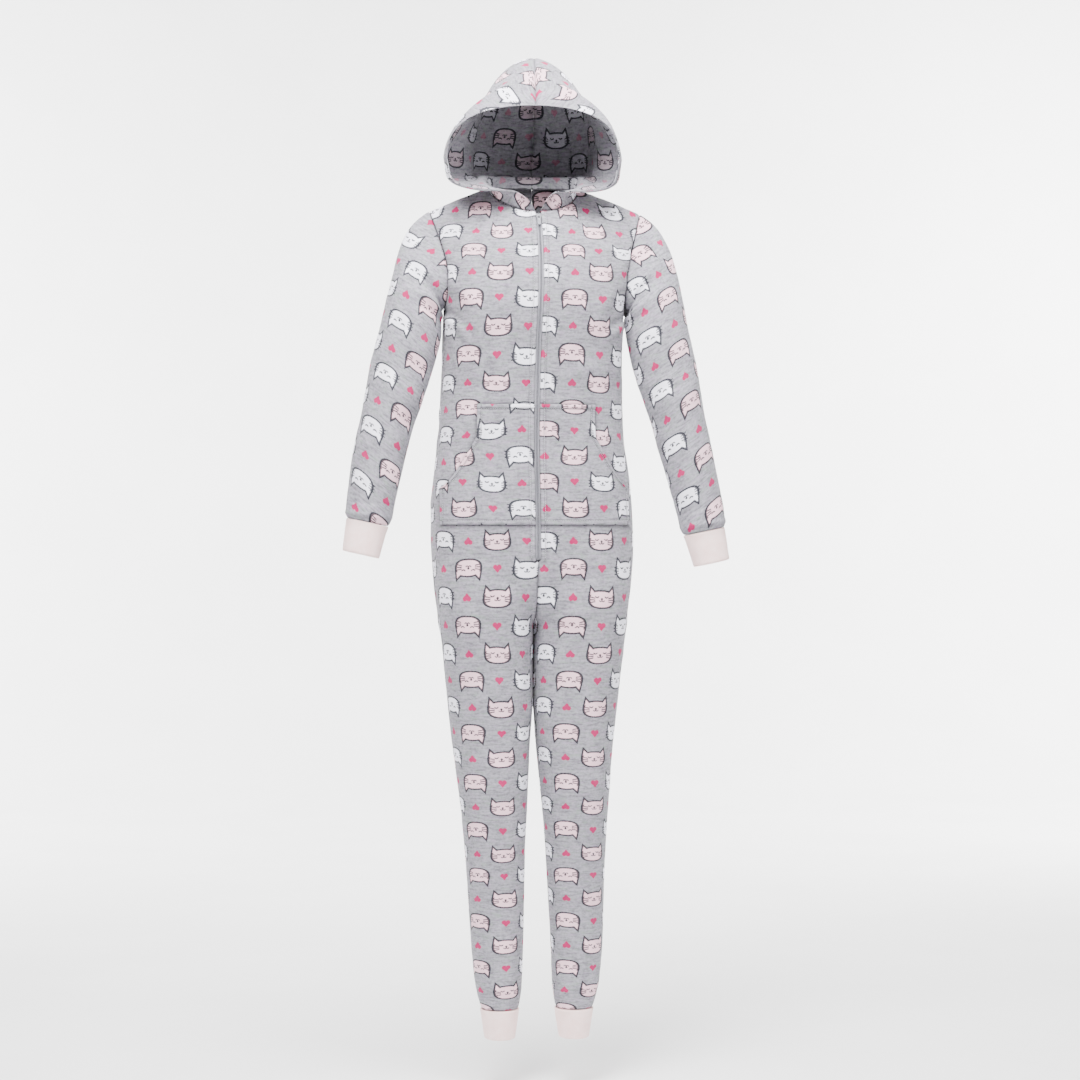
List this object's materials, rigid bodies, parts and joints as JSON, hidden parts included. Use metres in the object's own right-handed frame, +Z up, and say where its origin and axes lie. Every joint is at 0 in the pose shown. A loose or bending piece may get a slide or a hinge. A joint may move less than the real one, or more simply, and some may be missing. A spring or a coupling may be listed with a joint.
{
  "type": "hooded onesie pajama",
  "caption": "Hooded one-piece fleece pajama with a front zip, a split front pocket and ribbed wrist and ankle cuffs, in its worn shape.",
  "frame": {"origin": "middle of the neck hole, level with the tops of the shoulder seams", "axes": "+Z up the wearer, -Y out of the front, +X to the wearer's left"},
  "size_m": [0.6716, 0.2442, 1.721],
  "materials": {
    "printed_fleece": "brushed grey marl fleece with a small print of cat faces and hearts",
    "rib_pink": "pale pink ribbed knit",
    "zip_tape": "grey woven tape with a nylon coil",
    "zip_metal": "plain satin metal"
  },
  "bodies": {
    "garment": {"ankle_cuff_left": "rib_pink", "ankle_cuff_right": "rib_pink", "back_left": "printed_fleece", "back_right": "printed_fleece", "front_left": "printed_fleece", "front_right": "printed_fleece", "hood_left": "printed_fleece", "hood_lining_left": "printed_fleece", "hood_lining_right": "printed_fleece", "hood_right": "printed_fleece", "pocket_left": "printed_fleece", "pocket_right": "printed_fleece", "sleeve_left": "printed_fleece", "sleeve_right": "printed_fleece", "wrist_cuff_left": "rib_pink", "wrist_cuff_right": "rib_pink", "zip_left": "zip_tape", "zip_right": "zip_tape", "zip_slider": "zip_metal"},
    "zip_pull": {"zip_pull": "zip_metal"}
  },
  "joints": [
    {"name": "zip_pull_hinge", "type": "hinge", "parent": "garment", "child": "zip_pull", "pos_m": [0.00444, -0.06393, -0.057], "axis": [-1, 0, 0], "range_deg": [0, 120]}
  ]
}
